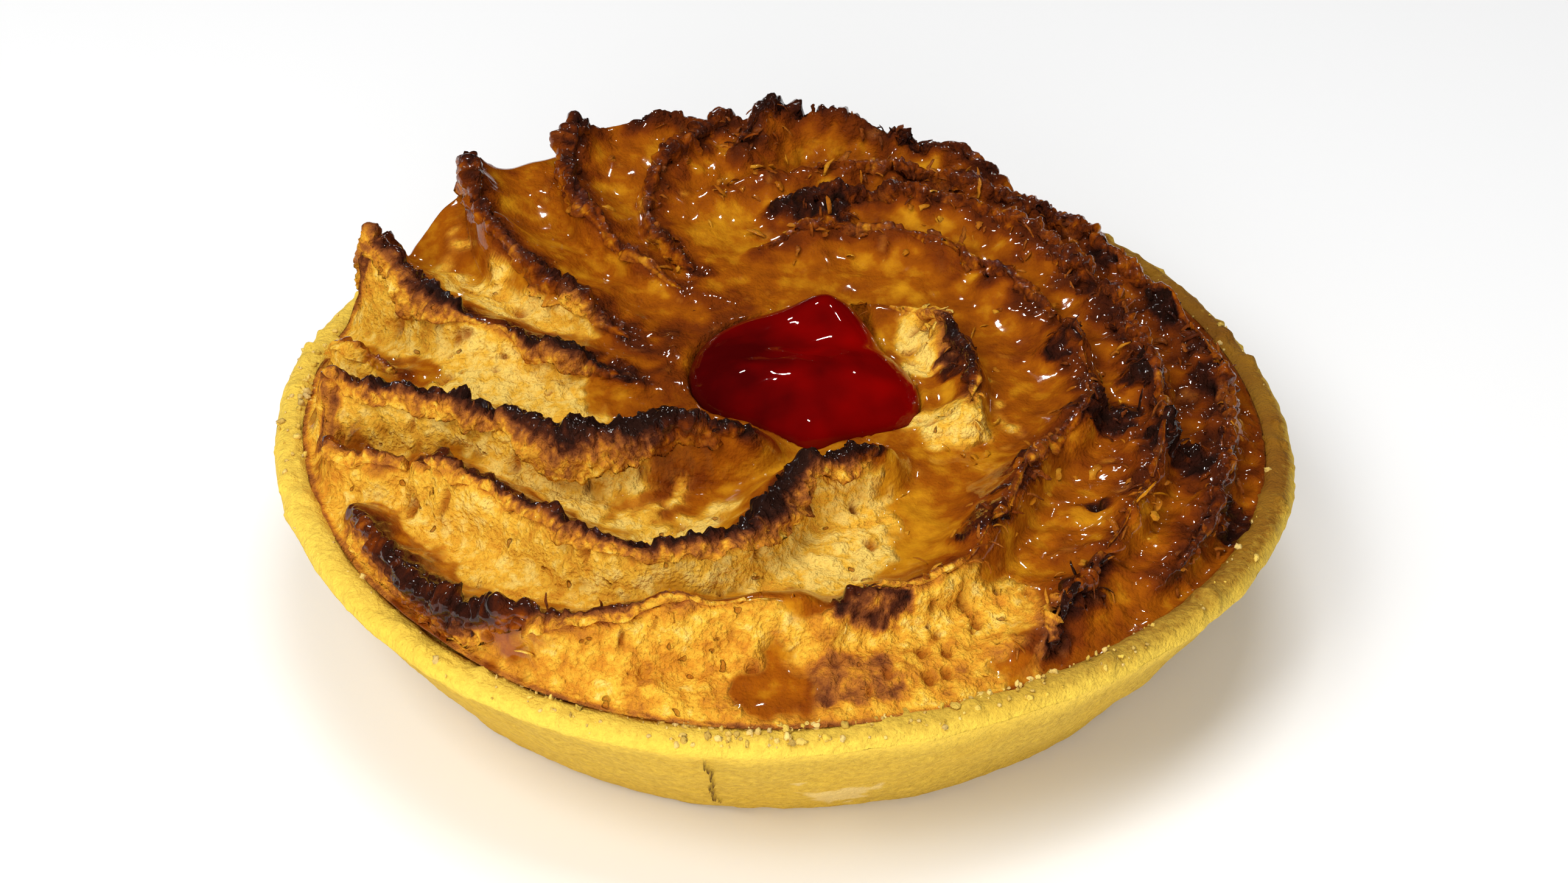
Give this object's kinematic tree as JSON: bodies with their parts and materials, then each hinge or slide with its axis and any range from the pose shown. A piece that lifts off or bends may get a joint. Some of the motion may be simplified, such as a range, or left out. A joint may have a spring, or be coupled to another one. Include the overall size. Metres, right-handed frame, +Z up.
{
  "type": "tartlet",
  "caption": "Round shortcrust tartlet with a piped, browned coconut filling in swept ridges and half a glazed cherry in the middle.",
  "frame": {"origin": "centre of the pastry case's flat underside, the middle of the tartlet's box at its lowest level", "axes": "+Z up through the cherry, +X to the right and +Y away from the viewer as in the picture"},
  "size_m": [0.08, 0.0804, 0.0237],
  "materials": {
    "shortcrust": "baked shortcrust, matt and sandy",
    "coconut_filling": "baked coconut paste, browned on the crests and glazed in part",
    "cherry": "glazed, deep red and wet"
  },
  "bodies": {
    "root": {"pastry_case": "shortcrust", "coconut_filling": "coconut_filling", "cherry": "cherry"}
  },
  "joints": []
}
